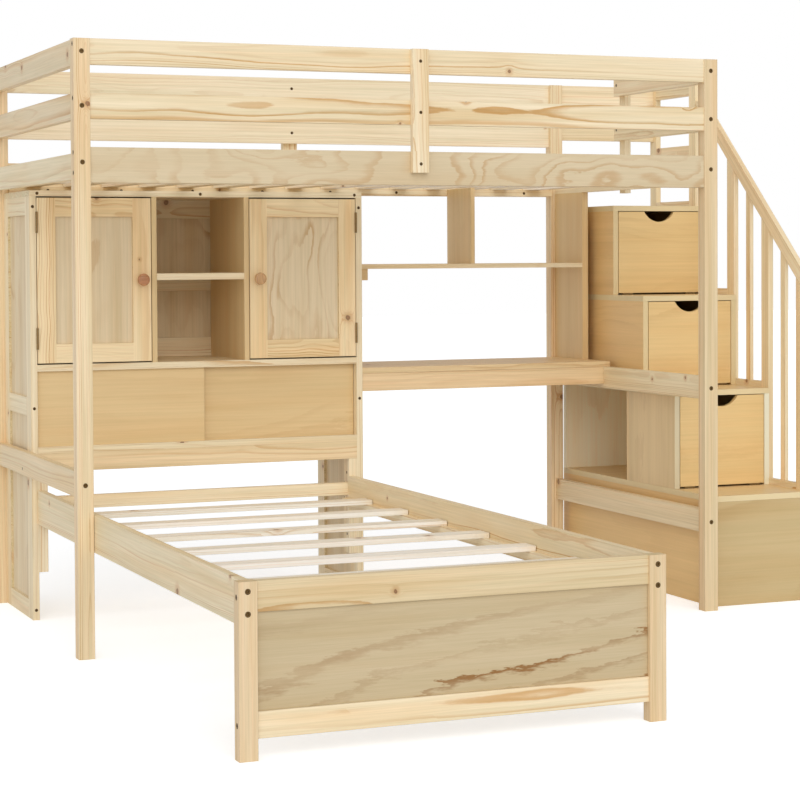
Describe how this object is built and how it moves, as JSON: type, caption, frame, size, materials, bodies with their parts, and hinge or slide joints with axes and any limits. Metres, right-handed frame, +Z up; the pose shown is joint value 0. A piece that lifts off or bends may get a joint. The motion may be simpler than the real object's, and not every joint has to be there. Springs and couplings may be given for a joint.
{
  "type": "bunk bed",
  "caption": "Pine bunk bed: guarded loft over a door cabinet and a desk, a lower bed running forward, and a box staircase with flap-door storage.",
  "frame": {"origin": "on the floor under the centre of the whole bed's box", "axes": "+Z up; the front, where the lower bed's foot is, faces -Y; +X runs along the loft towards the stairs"},
  "size_m": [2.376, 2.396, 1.678],
  "materials": {
    "loft_posts": "solid pine, satin clear lacquer",
    "guard_rails_front": "solid pine, satin clear lacquer",
    "side_board_front": "pine plywood, satin clear lacquer",
    "guard_rails_back": "solid pine, satin clear lacquer",
    "side_board_back": "solid pine, satin clear lacquer",
    "guard_stiles": "solid pine, satin clear lacquer",
    "end_rails_left": "solid pine, satin clear lacquer",
    "end_rails_right": "solid pine, satin clear lacquer",
    "end_boards": "solid pine, satin clear lacquer",
    "end_stile_right": "solid pine, satin clear lacquer",
    "low_rails": "solid pine, satin clear lacquer",
    "desk_rail": "solid pine, satin clear lacquer",
    "slat_battens": "solid pine, satin clear lacquer",
    "loft_slats": "solid pine, satin clear lacquer",
    "cabinet_sides": "solid pine, satin clear lacquer",
    "cabinet_side_panels": "pine plywood, satin clear lacquer",
    "cabinet_top": "solid pine, satin clear lacquer",
    "cabinet_shelves": "solid pine, satin clear lacquer",
    "cabinet_apron": "solid pine, satin clear lacquer",
    "cabinet_dividers": "solid pine, satin clear lacquer",
    "bay_shelf": "solid pine, satin clear lacquer",
    "cabinet_back_frame": "solid pine, satin clear lacquer",
    "cabinet_back_panels": "pine plywood, satin clear lacquer",
    "door_left": "solid pine, satin clear lacquer",
    "door_panel_left": "pine plywood, satin clear lacquer",
    "knob_left": "turned and clear lacquered",
    "hinge_metal": "dark brown lacquer",
    "door_right": "solid pine, satin clear lacquer",
    "door_panel_right": "pine plywood, satin clear lacquer",
    "knob_right": "turned and clear lacquered",
    "sliding_door_front": "pine veneered board, satin clear lacquer",
    "sliding_door_rear": "pine veneered board, satin clear lacquer",
    "sliding_tracks": "solid pine, satin clear lacquer",
    "desk_top": "solid pine, satin clear lacquer",
    "desk_apron": "solid pine, satin clear lacquer",
    "hutch_shelf": "solid pine, satin clear lacquer",
    "hutch_boards": "solid pine, satin clear lacquer",
    "stair_sides": "pine veneered board, satin clear lacquer",
    "stair_treads": "pine veneered board, satin clear lacquer",
    "stair_panels": "pine veneered board, satin clear lacquer",
    "flap_low": "pine veneered board, satin clear lacquer",
    "flap_mid": "pine veneered board, satin clear lacquer",
    "flap_top": "pine veneered board, satin clear lacquer",
    "stair_posts": "solid pine, satin clear lacquer",
    "balusters": "solid pine, satin clear lacquer",
    "handrail": "solid pine, satin clear lacquer",
    "stair_guard_rails": "solid pine, satin clear lacquer",
    "bed_posts": "solid pine, satin clear lacquer",
    "bed_foot_rails": "solid pine, satin clear lacquer",
    "bed_foot_panel": "pine plywood, satin clear lacquer",
    "bed_side_rails": "solid pine, satin clear lacquer",
    "bed_slats": "solid pine, satin clear lacquer",
    "bed_head": "solid pine, satin clear lacquer",
    "bolt_metal": "antique bronze",
    "screw_metal": "zinc"
  },
  "bodies": {
    "frame": {"loft_posts": "loft_posts", "guard_rails_front": "guard_rails_front", "side_board_front": "side_board_front", "guard_rails_back": "guard_rails_back", "side_board_back": "side_board_back", "guard_stiles": "guard_stiles", "end_rails_left": "end_rails_left", "end_rails_right": "end_rails_right", "end_boards": "end_boards", "end_stile_right": "end_stile_right", "low_rails": "low_rails", "desk_rail": "desk_rail", "slat_battens": "slat_battens", "loft_slats": "loft_slats", "cabinet_sides": "cabinet_sides", "cabinet_side_panels": "cabinet_side_panels", "cabinet_top": "cabinet_top", "cabinet_shelves": "cabinet_shelves", "cabinet_apron": "cabinet_apron", "cabinet_dividers": "cabinet_dividers", "bay_shelf": "bay_shelf", "cabinet_back_frame": "cabinet_back_frame", "cabinet_back_panels": "cabinet_back_panels", "sliding_tracks": "sliding_tracks", "hinge_frame_leaves": "hinge_metal", "desk_top": "desk_top", "desk_apron": "desk_apron", "hutch_shelf": "hutch_shelf", "hutch_boards": "hutch_boards", "stair_sides": "stair_sides", "stair_treads": "stair_treads", "stair_panels": "stair_panels", "stair_posts": "stair_posts", "balusters": "balusters", "handrail": "handrail", "stair_guard_rails": "stair_guard_rails", "bed_posts": "bed_posts", "bed_foot_rails": "bed_foot_rails", "bed_foot_panel": "bed_foot_panel", "bed_side_rails": "bed_side_rails", "bed_slats": "bed_slats", "bed_head": "bed_head", "frame_bolts": "bolt_metal", "wood_screws": "screw_metal"},
    "left_door": {"door_left": "door_left", "door_panel_left": "door_panel_left", "knob_left": "knob_left", "hinge_leaves_left": "hinge_metal"},
    "right_door": {"door_right": "door_right", "door_panel_right": "door_panel_right", "knob_right": "knob_right", "hinge_leaves_right": "hinge_metal"},
    "front_sliding_door": {"sliding_door_front": "sliding_door_front"},
    "rear_sliding_door": {"sliding_door_rear": "sliding_door_rear"},
    "low_flap": {"flap_low": "flap_low", "flap_leaves_low": "hinge_metal"},
    "mid_flap": {"flap_mid": "flap_mid", "flap_leaves_mid": "hinge_metal"},
    "top_flap": {"flap_top": "flap_top", "flap_leaves_top": "hinge_metal"}
  },
  "joints": [
    {"name": "left_door_hinge", "type": "hinge", "parent": "frame", "child": "left_door", "pos_m": [-1.138, 0.7782, 1.0195], "axis": [0, 0, -1], "range_deg": [0, 110]},
    {"name": "right_door_hinge", "type": "hinge", "parent": "frame", "child": "right_door", "pos_m": [-0.115, 0.7782, 1.0195], "axis": [0, 0, 1], "range_deg": [0, 110]},
    {"name": "front_door_slide", "type": "slide", "parent": "frame", "child": "front_sliding_door", "axis": [1, 0, 0], "range_m": [0, 0.5]},
    {"name": "rear_door_slide", "type": "slide", "parent": "frame", "child": "rear_sliding_door", "axis": [1, 0, 0], "range_m": [-0.5, 0]},
    {"name": "low_flap_hinge", "type": "hinge", "parent": "frame", "child": "low_flap", "pos_m": [0.9955, 0.4, 0.3442], "axis": [1, 0, 0], "range_deg": [0, 90]},
    {"name": "mid_flap_hinge", "type": "hinge", "parent": "frame", "child": "mid_flap", "pos_m": [0.9955, 0.605, 0.6572], "axis": [1, 0, 0], "range_deg": [0, 90]},
    {"name": "top_flap_hinge", "type": "hinge", "parent": "frame", "child": "top_flap", "pos_m": [0.9955, 0.81, 0.9562], "axis": [1, 0, 0], "range_deg": [0, 90]}
  ]
}
